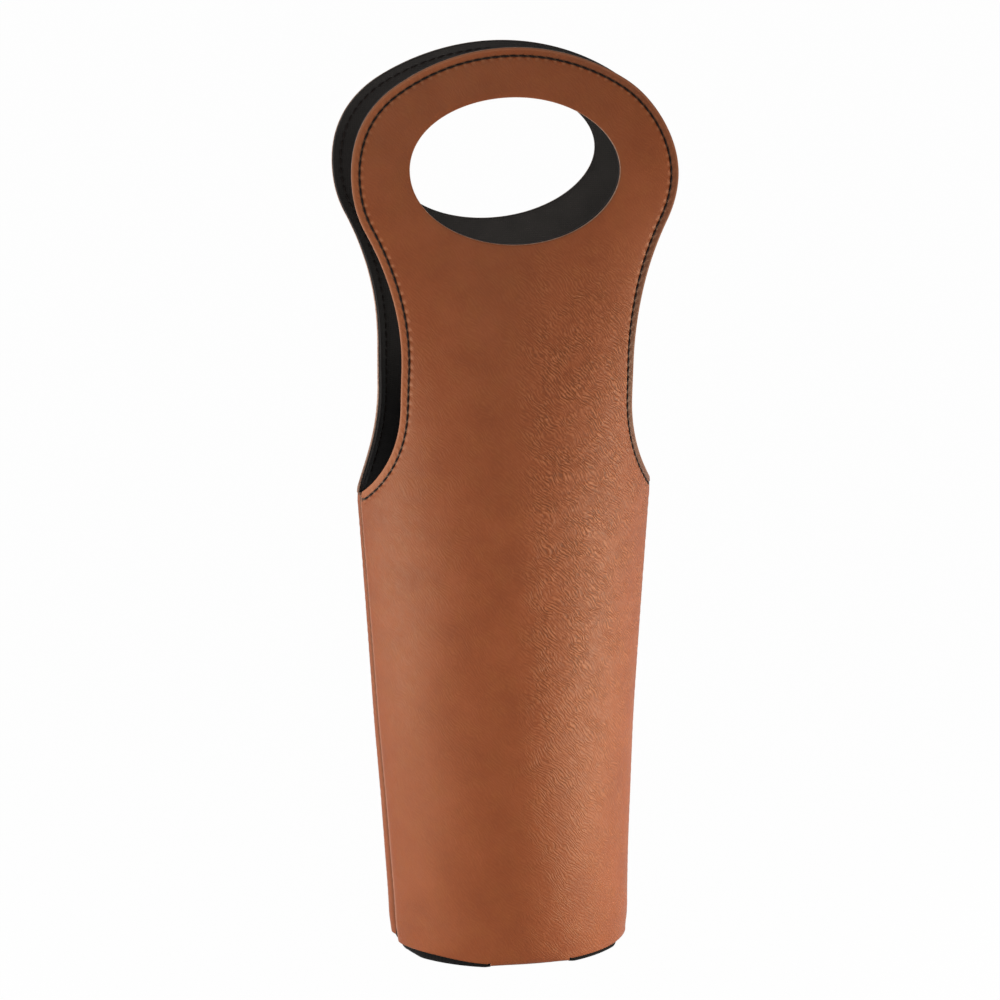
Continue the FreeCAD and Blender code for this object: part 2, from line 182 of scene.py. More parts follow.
def tongue(hem, run, depth):
    """Where the panel runs on below the hem, on a curve over the strap's fold and under the base."""
    share = np.clip(run / TONGUE, 0.0, 1.0)[:, None]
    rest = 1 - share
    y = hem[:, 1] - depth
    same = np.ones_like(y)
    knots = [
        np.stack([y, HEM * same], 1),
        np.stack([y + TONGUE_IN, (HEM - TONGUE_DROP) * same], 1),
        np.stack([(-STRAP_LINE - TONGUE_REACH) * same, TONGUE_LEVEL * same], 1),
        np.stack([(-STRAP_LINE + TONGUE_REACH) * same, TONGUE_LEVEL * same], 1),
    ]
    weights = [rest**3, 3 * share * rest**2, 3 * share**2 * rest, share**3]
    slopes = [-3 * rest**2, 3 * rest * (1 - 3 * share), 3 * share * (2 - 3 * share), 3 * share**2]
    line = sum(weight * knot for weight, knot in zip(weights, knots))
    along = unit(sum(slope * knot for slope, knot in zip(slopes, knots)))
    return np.stack([hem[:, 0], line[:, 0] - along[:, 1] * depth, line[:, 1] + along[:, 0] * depth], 1)


def bend_share(z):
    return smooth((z - BEND_LOW) / (BEND_HIGH - BEND_LOW))


CURL, TWIST, SLUMP, CURL_FROM = 4.0, 0.1, 1.2, 305.0


def back_place(s, z, depth):
    """The front panel turned to the back: its handle stands further open, and its top curls and twists."""
    place = front_place(s, z, depth) * (-1, -1, 1)
    top = np.clip((place[..., 2] - CURL_FROM) / (HEIGHT - CURL_FROM), 0.0, None)
    place[..., 1] -= CURL * top**2 + TWIST * place[..., 0] * smooth(top)
    place[..., 2] -= SLUMP * smooth(top)
    angle = -math.radians(BACK_OPEN) * bend_share(place[..., 2])
    out, up = place[..., 1] - HINGE_Y, place[..., 2] - HINGE
    y = HINGE_Y + (out * np.cos(angle) - up * np.sin(angle))
    z = HINGE + (out * np.sin(angle) + up * np.cos(angle))
    return np.stack([place[..., 0], y, z], -1)


# Cuts in the flat

# Spacing of points on lines that are spaced again for a mesh
FINE_STEP, EDGE_STEP = 0.4, 0.5
HOLE_POINTS = 721


def arc_points(centre, radius, start, end, step):
    count = max(2, int(abs(end - start) * radius / step))
    angles = np.linspace(start, end, count)
    return np.stack([centre[0] + radius * np.cos(angles), centre[1] + radius * np.sin(angles)], 1)


def right_outline(step):
    """Right-hand outline seen from the front, from the foot of the armhole to the top, as (x, z)."""
    foot, waist, handle = ARMHOLE_WIDTH / 2, WAIST_WIDTH / 2, HANDLE_WIDTH / 2
    rise = HEIGHT - WIDEST
    side = rise - CROWN_SAG
    drop = ((handle - side) ** 2 - (rise - side) ** 2) / (2 * (rise - side))
    tall, wide, neck_rise = WAIST_LOW - SEAM_TOP, foot - waist, WIDEST - WAIST_HIGH
    armhole = (tall**2 + wide**2) / (2 * wide)
    reach = waist - (handle - side)
    neck = (neck_rise**2 + reach**2 - side**2) / (2 * (side - reach))
    foot_angle = math.pi + math.acos((waist + armhole - foot) / armhole)
    meet = math.atan2(neck_rise, handle - side - waist - neck)
    crown = math.atan2(drop, handle - side)
    arcs = [
        arc_points((waist + armhole, WAIST_LOW), armhole, foot_angle, math.pi, step)[:-1],
        arc_points((waist + neck, WAIST_HIGH), neck, math.pi, meet, step)[:-1],
        arc_points((handle - side, WIDEST), side, meet - math.pi, crown, step)[:-1],
        arc_points((0, WIDEST - drop), rise + drop, crown, math.pi / 2, step),
    ]
    return np.concatenate(arcs)


def flat_s(x, z):
    radius = plan_radius(z)
    return radius * np.arcsin(np.clip(x / radius, -1, 1))


def run_lengths(path):
    """Length along a line from its start to each of its points."""
    return np.concatenate([[0], np.cumsum(np.linalg.norm(np.diff(path, axis=0), axis=1))])


def along_path(path, at):
    """Points of a line at the given lengths from its start."""
    lengths = run_lengths(path)
    return np.stack([np.interp(at, lengths, path[:, i]) for i in range(path.shape[1])], 1)


def even(line, step):
    """The same open line with points at even steps."""
    length = run_lengths(line)[-1]
    return along_path(line, np.linspace(0, length, max(2, int(round(length / step)) + 1)))


def mirrored(line):
    return line[::-1] * (-1, 1)


def right_edge(step):
    """The cut edge of the flap in the flat, from the turned edge at the seam to the top."""
    outline = right_outline(FINE_STEP)
    line = np.stack([flat_s(outline[:, 0], outline[:, 1]), outline[:, 1]], 1)
    line = line[line[:, 0] < fold(line[:, 1]).start]
    return even(line, step)


def hole_edge(step, aside):
    across, up = HOLE_WIDTH / 2, HOLE_HEIGHT / 2
    turn = np.linspace(0, -2 * math.pi, HOLE_POINTS)
    z = HOLE_LEVEL + up * np.sin(turn)
    return even(np.stack([flat_s(across * np.cos(turn) + aside, z), z], 1), step)[:-1]


# The hem's height at the strap and both seams, and the share of the way in which it changes
STRAP_HEM, LEFT_HEM, RIGHT_HEM, HEM_CHANGE = 1.4, 2.8, 1.2, 0.6


def hem_height(reach, corner):
    """Height of the hem at a length from the middle, with its height at the seam."""
    change = HEM_CHANGE * (fold(HEM).start - STRAP_HALF)
    return mix(STRAP_HEM, corner, smooth((reach - STRAP_HALF) / change))


FLANK_STEP, ALLOWANCE_DROP, SHOULDER_OUT = 0.8, 0.4, 0.8


def half_cut(step, corner):
    """Right half of the outer cut, from the tongue round to the top, with the hem's height at the seam."""
    top = even(right_edge(EDGE_STEP), step)
    heights = np.linspace(corner, SEAM_TOP - ALLOWANCE_DROP, int((SEAM_TOP - corner) / step))
    side = np.stack([fold(heights).end + SEAM_ALLOWANCE, heights], 1)
    shoulder = even(np.array([side[-1], [top[0, 0] + SHOULDER_OUT, SEAM_TOP]]), step)[1:]
    reach = np.linspace(STRAP_HALF, side[0, 0], int(side[0, 0] / step))[1:-1]
    hem = np.stack([reach, hem_height(reach, corner)], 1)
    flank = even(np.array([[STRAP_HALF, HEM - TONGUE], [STRAP_HALF, STRAP_HEM]]), FLANK_STEP)
    return np.concatenate([flank, hem, side, shoulder, top])


def outer_cut(step, right_hem, left_hem):
    """Cut of the outer panel: hem with the strap's tongue, both allowances and the flap."""
    floor = even(np.array([[-STRAP_HALF, HEM - TONGUE], [STRAP_HALF, HEM - TONGUE]]), step)[1:-1]
    return np.concatenate([floor, half_cut(step, right_hem), mirrored(half_cut(step, left_hem))[1:]])


# Foot of the inner layers and their clearances at the seam
LINING_FOOT, LINING_DROP, LINING_SHORT, LINING_STEP_IN = 9.5, 1.0, 0.3, 0.2


def inner_cut(step):
    """Cut of an inner layer: it stops above the gussets' rim and short of the bound seams."""
    top = even(right_edge(EDGE_STEP), step)
    heights = np.linspace(LINING_FOOT, SEAM_TOP - LINING_DROP, int((SEAM_TOP - LINING_FOOT) / step))
    side = np.stack([fold(heights).start - LINING_SHORT, heights], 1)
    top = top[top[:, 0] < np.interp(top[:, 1], heights, side[:, 0]) - LINING_STEP_IN]
    foot = even(np.array([[-side[0, 0], LINING_FOOT], side[0]]), step)[1:-1]
    half = np.concatenate([side, top])
    return np.concatenate([foot, half, mirrored(half)[1:]])


def left_of(along):
    """Unit normals to the left of directions in the flat."""
    along = unit(along)
    return np.stack([-along[:, 1], along[:, 0]], 1)


def inward(loop):
    """Unit normals of a closed line, to its left."""
    return left_of(np.roll(loop, -1, 0) - np.roll(loop, 1, 0))


def inward_open(line):
    """Unit normals of an open line, to its left."""
    return left_of(np.gradient(line, axis=0))


BLOCK, FAR = 200, 1e9


def nearest(points, line):
    """Distance from each point to the nearest point of a line, and that point's number."""
    least, number = np.full(len(points), FAR), np.zeros(len(points), int)
    for start in range(0, len(line), BLOCK):
        gaps = np.linalg.norm(points[:, None] - line[None, start : start + BLOCK], axis=2)
        near = gaps.argmin(1)
        gap = gaps[np.arange(len(points)), near]
        number = np.where(gap < least, near + start, number)
        least = np.minimum(least, gap)
    return least, number


def within(points, loop):
    """Which points lie inside a closed line."""
    inside = np.zeros(len(points), bool)
    x, z = points[:, 0], points[:, 1]
    for (x0, z0), (x1, z1) in zip(loop, np.roll(loop, -1, 0)):
        cross = (z0 > z) != (z1 > z)
        if cross.any():
            inside[cross] ^= x[cross] < x0 + (z[cross] - z0) * (x1 - x0) / (z1 - z0)
    return inside


# Meshes

# Length in the flat that one unit of the pattern covers
PATTERN = 100.0
FOOT_SWAY, BELLY_SWAY, TOP_SWAY = 1.0, 0.95, 1.4


def swayed(points):
    """The soft body's slight lean: the foot to the right, the belly and the handles' tops to the left."""
    z = points[:, 2]
    foot = FOOT_SWAY * (1 - smooth(z / 55.0))
    belly = BELLY_SWAY * smooth((z - 45.0) / 60.0) * (1 - smooth((z - 225.0) / 55.0))
    top = TOP_SWAY * smooth((z - 322.0) / 35.0)
    return points + (foot - belly - top)[:, None] * (1, 0, 0)


def new_object(name, points, faces, flat, raw_faces=None, marks=None):
    """A smooth mesh object, with its flat pattern as UVs.

    raw_faces says which faces have the second material, and marks holds named values at its points.
    """
    mesh = bpy.data.meshes.new(name)
    mesh.from_pydata((swayed(points) * MM).tolist(), [], [list(f) for f in faces])
    mesh.polygons.foreach_set("use_smooth", np.ones(len(mesh.polygons), bool))
    if raw_faces is not None:
        mesh.polygons.foreach_set("material_index", raw_faces)
    corners = np.empty(len(mesh.loops), np.int32)
    mesh.loops.foreach_get("vertex_index", corners)
    layer = mesh.uv_layers.new(name="flat")
    layer.data.foreach_set("uv", (flat[corners] / PATTERN).astype(np.float32).ravel())
    for label, values in (marks or {}).items():
        layer = mesh.attributes.new(label, "FLOAT", "POINT")
        layer.data.foreach_set("value", np.asarray(values, np.float32))
    mesh.validate()
    made = bpy.data.objects.new(name, mesh)
    bpy.context.scene.collection.objects.link(made)
    return made


# A row's height and the clearance of fixed points, in steps, and the triangulation's settings
GRID_ROW, GRID_CLEAR = 0.866, 0.62
INSIDE_ONLY, WELD = 1, 1e-5


def hex_grid(low, high, step):
    points = []
    for i, z in enumerate(np.arange(low[1], high[1], step * GRID_ROW)):
        s = np.arange(low[0] + (i % 2) * step / 2, high[0], step)
        points.append(np.stack([s, np.full_like(s, z)], 1))
    return np.concatenate(points)


def filled(loops, lines, step):
    """Triangles inside the first loop and outside the others, with points on the lines and a grid between.

    Returns the points, the triangles and the number that each point of the loops has come to have.
    """
    fixed = np.concatenate(loops + lines)
    grid = hex_grid(fixed.min(0), fixed.max(0), step)
    inside = within(grid, loops[0])
    for hole in loops[1:]:
        inside &= ~within(grid, hole)
    grid = grid[inside]
    grid = grid[nearest(grid, fixed)[0] > GRID_CLEAR * step]
    edges, start = [], 0
    for loop in loops:
        size = len(loop)
        edges += [(start + i, start + (i + 1) % size) for i in range(size)]
        start += size
    given = [Vector(p) for p in np.concatenate([fixed, grid])]
    places, _, triangles, origins, _, _ = delaunay_2d_cdt(given, edges, [], INSIDE_ONLY, WELD)
    cut, triangles = np.array([p[:] for p in places]), np.array(triangles)
    for hole in loops[1:]:
        triangles = triangles[~within(cut[triangles].mean(1), hole)]
    numbers = np.empty(len(origins), int)
    numbers[[origin[0] for origin in origins]] = np.arange(len(origins))
    return cut, triangles, numbers


TURN_ABOVE_SEAM = 1.0


def turn_share(flat):
    """Share of the turned edge that lies before each point of the flat, or -1 above the seam."""
    s, z = flat[:, 0], flat[:, 1]
    at = fold(np.maximum(z, HEM))
    return np.where(z < SEAM_TOP + TURN_ABOVE_SEAM, (np.abs(s) - at.start) / (at.end - at.start), -1.0)


def sheet_object(name, loops, place, rim, step, insets=(), sewn=None, grooves=(0.0, 0.0), skin=0):
    """A closed sheet cut along loops in the flat.

    rim is its edge's section, as (in from the edge, depth). Its first skin bands keep the face's material.
    insets are distances from the sewn edge at which the mesh has a line of points.
    grooves are the depths to which the stitching pulls in the outer and the inner face.
    """
    first = [loop + inward(loop) * rim[0][0] for loop in loops]
    cut, triangles, numbers = filled(first, [sewn + inward_open(sewn) * inset for inset in insets], step)
    size = len(cut)
    gap = nearest(cut, np.concatenate(loops) if sewn is None else sewn)[0]
    dip = stitch_relief(gap)
    count_line, counts = stitch_counts()
    stitch = counts[nearest(cut, count_line)[1]]
    points = [
        place(cut[:, 0], cut[:, 1], rim[0][1] + grooves[0] * dip),
        place(cut[:, 0], cut[:, 1], rim[-1][1] - grooves[1] * dip),
    ]
    values = [np.column_stack([cut, gap, stitch])] * 2
    faces = [tuple(t) for t in triangles] + [tuple(t[::-1] + size) for t in triangles]
    raw = [np.zeros(len(faces), np.int32)]
    count, start = 2 * size, 0
    for loop in loops:
        length = len(loop)
        border = numbers[start : start + length]
        rings = [border]
        for inset, depth in rim[1:-1]:
            line = loop + inward(loop) * inset
            points.append(place(line[:, 0], line[:, 1], depth))
            values.append(np.column_stack([line, np.zeros((length, 2))]))
            rings.append(np.arange(count, count + length))
            count += length
        rings.append(border + size)
        for band, (a, b) in enumerate(zip(rings, rings[1:])):
            faces += list(zip(a, b, np.roll(b, -1), np.roll(a, -1)))
            raw.append(np.full(length, band >= skin, np.int32))
        start += length
    values = np.concatenate(values)
    flat = values[:, :2]
    marks = {"edge": values[:, 2], "stitch": values[:, 3], "turn": turn_share(flat)}
    return new_object(name, np.concatenate(points), faces, flat, np.concatenate(raw), marks)


# A stitch's radius, its ends' share of that, its rise in the middle and its depth at the ends
THREAD_RADIUS, THREAD_END, THREAD_RISE, THREAD_SINK, THREAD_ARCH = 0.38, 0.45, 0.30, 0.16, 0.6
THREAD_RINGS, THREAD_SIDES, THREAD_PATTERN = 7, 6, 10.0


def stitch_mesh(starts, ends, outs):
    """Separate stitches between two rows of points.

    Each is thickest in the middle, where it rises along its out vector, and dips at its ends.
    """
    share = np.linspace(0, 1, THREAD_RINGS)
    arch = np.sin(math.pi * share) ** THREAD_ARCH
    along = unit(ends - starts)
    across = unit(np.cross(along, outs))
    up = np.cross(across, along)
    line = starts[:, None] + (ends - starts)[:, None] * share[None, :, None]
    line = line + up[:, None] * (arch * THREAD_RISE - THREAD_SINK)[None, :, None]
    thick = THREAD_RADIUS * mix(THREAD_END, 1.0, arch)
    turn = np.linspace(0, 2 * math.pi, THREAD_SIDES, endpoint=False)
    ring = np.cos(turn)[:, None, None] * across[None] + np.sin(turn)[:, None, None] * up[None]
    points = line[:, :, None] + ring.transpose(1, 0, 2)[:, None] * thick[None, :, None, None]
    flat = np.stack(np.broadcast_arrays(share[None, :, None], turn[None, None]), -1) * THREAD_PATTERN
    return joined([(*swept(rows), flat.reshape(-1, 2)) for rows in points])


def swept(rows):
    """Points and faces of a closed section carried along a path: rows[i] is the section at step i."""
    rows = np.asarray(rows)
    count, size = rows.shape[:2]
    faces = []
    for i in range(count - 1):
        for j in range(size):
            a, b = i * size + j, i * size + (j + 1) % size
            faces.append((a, a + size, b + size, b))
    faces.append(tuple(range(size)))
    faces.append(tuple(range(count * size - 1, (count - 1) * size - 1, -1)))
    return rows.reshape(-1, 3), faces


def joined(parts):
    points, faces, flat, count = [], [], [], 0
    for part_points, part_faces, part_flat in parts:
        points.append(part_points)
        flat.append(part_flat)
        faces += [tuple(i + count for i in face) for face in part_faces]
        count += len(part_points)
    return np.concatenate(points), faces, np.concatenate(flat)


def stitch_counts():
    """The stitching line in the flat, at close points, and how many stitches lie before each."""
    path = even(stitch_line, FINE_STEP)
    lengths = run_lengths(path)
    return path, lengths / lengths[-1] * int(lengths[-1] / STITCH_PITCH)


def stitch_ends(path):
    """Where stitches of one even pitch start and end along a line."""
    length = run_lengths(path)[-1]
    count = int(length / STITCH_PITCH)
    middles = (np.arange(count) + 0.5) * length / count
    return [along_path(path, middles + shift * STITCH_LENGTH) for shift in (-0.5, 0.5)]


OUTWARD_STEP = 0.2


def sewn_stitches(place, path, depth, side):
    """Stitches on one face of a panel, along a line in the flat."""
    first, last = stitch_ends(path)
    middle = (first + last) / 2
    aside = (last - first)[:, ::-1] * (-1, 1) / STITCH_LENGTH * STITCH_SLANT
    near = place(middle[:, 0], middle[:, 1], depth)
    outs = (place(middle[:, 0], middle[:, 1], depth - OUTWARD_STEP) - near) * side
    starts, ends = (place(p[:, 0], p[:, 1], depth) for p in (first + aside, last - aside))
    return stitch_mesh(starts, ends, outs)


# Materials, whose colours are red, green and blue from 0 to 255


def linear(colour):
    share = np.asarray(colour, float) / 255
    return tuple(np.where(share <= 0.04045, share / 12.92, ((share + 0.055) / 1.055) ** 2.4))


class Nodes:
    """Short ways to add and join shader nodes."""

    def __init__(self, tree):
        self.tree = tree

    def feed(self, socket, value):
        """Gives an input a plain value, or joins an output to it."""
        if isinstance(value, bpy.types.NodeSocket):
            self.tree.links.new(value, socket)
        else:
            socket.default_value = value

    def add(self, kind, *inputs, **values):
        """A new node, with its first inputs in their order, and its settings and other inputs by name."""
        node = self.tree.nodes.new("ShaderNode" + kind)
        for key, value in values.items():
            if hasattr(node, key):
                setattr(node, key, value)
            else:
                self.feed(node.inputs[key.replace("_", " ")], value)
        for socket, value in zip(node.inputs, inputs):
            self.feed(socket, value)
        return node

    def wear(self, **values):
        """Feeds inputs of a material's shader, by name."""
        for key, value in values.items():
            self.feed(self.tree.nodes["Principled BSDF"].inputs[key.replace("_", " ")], value)

    def output(self, name, share, first, second):
        """The tree's output: one shader that gives way to another by a share."""
        both = self.add("MixShader", share, first.outputs[0], second.outputs[0])
        self.feed(self.tree.nodes[name].inputs[0], both.outputs[0])

    def math(self, operation, a, b=0.0):
        return self.add("Math", a, b, operation=operation).outputs[0]

    def combined(self, operation, values):
        result = values[0]
        for value in values[1:]:
            result = self.math(operation, result, value)
        return result

    def product(self, *values):
        return self.combined("MULTIPLY", values)

    def total(self, *values):
        return self.combined("ADD", values)

    def greatest(self, *values):
        return self.combined("MAXIMUM", values)

    def flat(self):
        return self.add("UVMap", uv_map="flat").outputs[0]

    def solid(self):
        return self.add("TexCoord").outputs["Object"]

    def attribute(self, name):
        return self.add("Attribute", attribute_name=name).outputs["Fac"]

    def shifted(self, where, scale, by):
        """The same places, drawn aside by a slow noise."""
        noise = self.add("TexNoise", where, Scale=scale, Detail=1.0).outputs["Color"]
        middle = self.add("VectorMath", noise, (0.5, 0.5, 0.5), operation="SUBTRACT").outputs[0]
        return self.add("VectorMath", middle, (by, by, 0), where, operation="MULTIPLY_ADD").outputs[0]

    def turned(self, where, turn, stretch):
        """Places turned by an angle in degrees and then scaled across."""
        where = self.add("Mapping", where, Rotation=(0, 0, math.radians(turn))).outputs[0]
        return self.add("Mapping", where, Scale=(stretch, 1, 1)).outputs[0]

    def noise(self, where, scale, detail=2.0, roughness=0.5, distortion=0.0):
        values = {"Scale": scale, "Detail": detail, "Roughness": roughness, "Distortion": distortion}
        return self.add("TexNoise", where, **values).outputs[0]

    def bands(self, where, direction, scale, distortion, **values):
        values.update(Scale=scale, Distortion=distortion)
        return self.add("TexWave", where, bands_direction=direction, **values).outputs["Fac"]

    def span(self, value, low, high, to_low=0.0, to_high=1.0):
        """A value brought from one range to another, and held at its ends."""
        ends = {"From_Min": low, "From_Max": high, "To_Min": to_low, "To_Max": to_high}
        return self.add("MapRange", value, **ends).outputs[0]

    def colours(self, share, *stops):
        """A ramp of colours, each stop as (share, colour)."""
        ramp = self.add("ValToRGB", share)
        marks = ramp.color_ramp.elements
        while len(marks) < len(stops):
            marks.new(0.5)
        for mark, (at, colour) in zip(marks, stops):
            mark.position, mark.color = at, (*linear(colour), 1)
        return ramp.outputs[0]

    def mixed(self, share, base, colour):
        """A shaded colour with a share of a plain one."""
        node = self.add("Mix", share, data_type="RGBA")
        self.feed(node.inputs[6], base)
        self.feed(node.inputs[7], (*linear(colour), 1))
        return node.outputs[2]

    def bump(self, height, distance, strength=1.0):
        return self.add("Bump", Height=height, Distance=distance, Strength=strength).outputs[0]


def shade(name, colour, roughness, specular):
    """A new material and its nodes."""
    material = bpy.data.materials.new(name)
    material.use_nodes = True
    n = Nodes(material.node_tree)
    n.wear(Base_Color=(*linear(colour), 1), Roughness=roughness, Specular_IOR_Level=specular)
    return material, n


DEEP_TAN, TAN, PALE_TAN = (136, 66, 35), (143, 71, 38), (149, 76, 43)
WARM_TAN, MOTTLE = (145, 77, 39), (112, 54, 34)
# Painted shade for the creases' valleys and painted highlight for their ridges
CREASE_PAINTED_SHADE, CREASE_PAINTED_HIGHLIGHT = (98, 47, 29), (186, 112, 74)
# Painted shade for the border at the right, and painted highlight for it at the left
RIGHT_BORDER_SHADE, LEFT_BORDER_HIGHLIGHT = (88, 56, 43), (176, 104, 66)
# Painted highlight on the puckers by the stitching, and painted shade in the stitching's groove
PUCKER_HIGHLIGHT, NEEDLE_GROOVE_SHADE = (196, 128, 90), (42, 21, 14)
# The cut edge's pale colour, also used as a painted highlight on the turned edge's crest, and painted shade
# for the seam's valley
PALE_EDGE_AND_CREST_HIGHLIGHT, SEAM_VALLEY_SHADE = (190, 128, 96), (84, 41, 25)


def creases(n, where):
    """Short slanting creases: a stretched noise, and ripples that run the same way."""
    ripple = n.bands(n.turned(where, 46, 0.6), "Y", 28.0, 8.5, Detail=2.0, Detail_Scale=1.1)
    slant = n.noise(n.turned(where, 52, 0.3), 130.0, 1.5, 0.5, 0.2)
    return n.span(n.total(n.span(slant, 0.34, 0.66, 0.0, 0.5), n.span(ripple, 0.05, 0.8, 0.0, 0.5)), 0.2, 0.8)


def crease_strength(n, across, up, patches):
    """How strongly a place is creased, in relief and in the creases' painted shade and highlights: most on
    the body, right of the middle, and in patches.
    """
    right = n.product(n.span(across, -0.05, 0.08, 0.1, 1.1), n.span(across, 0.25, 0.6, 1.0, 0.5))
    body = n.product(n.span(up, 0.3, 1.5, 0.25, 1.0), n.span(up, 3.05, 2.6))
    return n.total(n.product(right, body, n.span(patches, 0.36, 0.6, 0.4, 1.15)), 0.1)


def border_tone(n, colour, edge, across, up):
    """Colour of the strip outside the stitching: painted shade makes it darker at the right, and a painted
    highlight makes it paler at the left.
    """
    border = n.span(edge, STITCH_INSET, STITCH_INSET - 0.6)
    # Painted shade on the border at the right, and a painted highlight on it at the left
    right = n.product(border, n.span(across, 0.0, 0.4, 0.0, 0.75), n.span(up, 3.4, 2.9, 0.4, 1.0))
    left = n.product(border, n.span(across, 0.0, -0.4, 0.0, 0.3))
    return n.mixed(left, n.mixed(right, colour, RIGHT_BORDER_SHADE), LEFT_BORDER_HIGHLIGHT)


def stitch_tone(n, colour, edge, offset, beat):
    """Colour along the stitching: painted highlights on the puckers inside the line, and painted shade that
    makes the line itself dark.
    """
    inside = n.product(n.span(edge, STITCH_INSET + 0.35, STITCH_INSET + 0.7), n.span(edge, 5.4, 4.3))
    # Painted highlights on the puckers, beating with the stitches
    colour = n.mixed(n.product(inside, n.span(beat, 0.0, 1.0, 0.0, 0.3)), colour, PUCKER_HIGHLIGHT)
    # Painted shade in the stitching's groove, which darkens the line
    return n.mixed(n.span(offset, 0.25, 0.75, 0.92, 0.0), colour, NEEDLE_GROOVE_SHADE)


def edge_tone(n, colour, edge, mottle):
    """A pale line on the cut edge, a painted highlight on the turned edge's crest, and painted shade in the
    seam's valley.
    """
    turn = n.attribute("turn")
    # Painted highlight along the turned edge's crest, broken up by the mottle
    crest_highlight = n.span(n.math("ABSOLUTE", n.math("SUBTRACT", turn, 0.15)), 0.0, 0.13)
    crest_highlight = n.product(n.span(crest_highlight, 0.0, 1.0, 0.5, 0.0), n.span(mottle, 0.35, 0.65, 0.5, 1.0))
    # The cut edge's own pale line and the crest's painted highlight share one colour
    colour = n.mixed(n.greatest(n.span(edge, 0.5, 1.2, 0.35, 0.0), crest_highlight), colour, PALE_EDGE_AND_CREST_HIGHLIGHT)
    # Painted shade in the seam's valley, where the turned edge runs into the seam
    return n.mixed(n.span(turn, 0.4, 0.6, 0.0, 0.85), colour, SEAM_VALLEY_SHADE)


def leatherette():
    """Tan coated cloth: blotched colour, fine grain, slanting creases and lines along its edges, with painted
    shade and painted highlights on the creases, the border, the stitching and the seam's turned edges.
    """
    material, n = shade("leatherette", TAN, 0.54, 0.37)
    flat = n.flat()
    across, up, _ = n.add("SeparateXYZ", flat).outputs
    blotch = n.noise(flat, 5.0, 3.0, 0.55)
    mottle = n.noise(flat, 26.0, 3.0, 0.6)
    warm = n.noise(flat, 11.0, 2.0, 0.5)
    fine = n.noise(flat, 420.0, 2.0, 0.6)
    bent = n.shifted(flat, 9.0, 0.05)
    grain = n.noise(n.turned(bent, 47, 0.7), 185.0, 2.0, 0.6, 0.4)
    crease = creases(n, bent)
    creased = crease_strength(n, across, up, warm)
    edge = n.attribute("edge")
    offset = n.math("ABSOLUTE", n.math("SUBTRACT", edge, STITCH_INSET))
    beat = n.math("COSINE", n.product(n.attribute("stitch"), 2 * math.pi))

    colour = n.colours(blotch, (0.3, DEEP_TAN), (0.5, TAN), (0.7, PALE_TAN))
    colour = n.mixed(n.span(warm, 0.45, 0.7, 0.0, 0.5), colour, WARM_TAN)
    colour = n.mixed(n.span(mottle, 0.3, 0.7, 0.16, 0.0), colour, MOTTLE)
    # Painted shade in the creases' valleys and painted highlights on their ridges, weighed by how creased a
    # place is
    colour = n.mixed(n.product(n.span(crease, 0.0, 0.4, 0.42, 0.0), creased), colour, CREASE_PAINTED_SHADE)
    colour = n.mixed(n.product(n.span(crease, 0.6, 1.0, 0.0, 0.46), creased), colour, CREASE_PAINTED_HIGHLIGHT)
    colour = border_tone(n, colour, edge, across, up)
    colour = stitch_tone(n, colour, edge, offset, beat)
    colour = edge_tone(n, colour, edge, mottle)

    height = n.total(n.product(crease, creased, 2.0), n.product(grain, 0.85), n.product(fine, 0.12))
    beside = n.product(n.span(offset, 0.4, 0.8), n.span(offset, 2.0, 0.9))
    height = n.math("SUBTRACT", height, n.product(beat, beside, 1.4))
    n.wear(Base_Color=colour, Roughness=n.span(mottle, 0.3, 0.7, 0.5, 0.58), Normal=n.bump(height, 0.00009))
    n.wear(Specular_Tint=(1.0, 0.89, 0.6, 1))
    return material


def cut_edge():
    """The pale raw edge of the leatherette."""
    material, n = shade("cut_edge", (182, 138, 112), 0.7, 0.3)
    where = n.solid()
    fray = n.noise(where, 900.0, 3.0, 0.6)
    patch = n.noise(where, 90.0, 2.0, 0.5)
    colour = n.colours(fray, (0.3, (168, 122, 98)), (0.7, (222, 188, 166)))
    colour = n.mixed(n.span(patch, 0.4, 0.7, 0.0, 0.4), colour, (142, 92, 68))
    n.wear(Base_Color=colour, Normal=n.bump(fray, 0.0001, 0.6))
    return material


# Scale of the weave's waves for threads of one millimetre
WEAVE = PATTERN / 6.2832


def woven(name, low, high, width, roughness=0.8, sheen=0.3, specular=0.25):
    """Closely woven cloth on the flat pattern, with finer waves for narrower threads."""
    material, n = shade(name, high, roughness, specular)
    flat = n.flat()
    cloth = n.greatest(*(n.bands(flat, direction, WEAVE / width, 0.6, Detail=1.0) for direction in "XY"))
    slub = n.noise(flat, 9.0, 3.0, 0.6)
    fuzz = n.noise(flat, 220.0, 2.0, 0.6)
    colour = n.colours(n.total(n.product(cloth, 0.45), n.product(slub, 0.55)), (0.25, low), (0.8, high))
    n.wear(Base_Color=colour, Normal=n.bump(n.total(cloth, n.product(fuzz, 0.5)), 0.00012, 0.5))
    n.wear(Roughness=n.span(fuzz, 0.3, 0.7, roughness - 0.06, roughness + 0.08))
    n.wear(Sheen_Weight=sheen, Sheen_Roughness=0.5)
    return material


def thread():
    """Dark twisted sewing thread."""
    material, n = shade("thread", (26, 18, 15), 0.65, 0.15)
    twist = n.bands(n.flat(), "DIAGONAL", 11.0, 0.4)
    tone = n.noise(n.solid(), 420.0, 2.0, 0.5)
    share = n.total(n.product(twist, 0.6), n.product(tone, 0.4))
    colour = n.colours(share, (0.2, (12, 9, 8)), (0.85, (38, 27, 22)))
    n.wear(Base_Color=colour, Normal=n.bump(twist, 0.00006, 0.7))
    return material


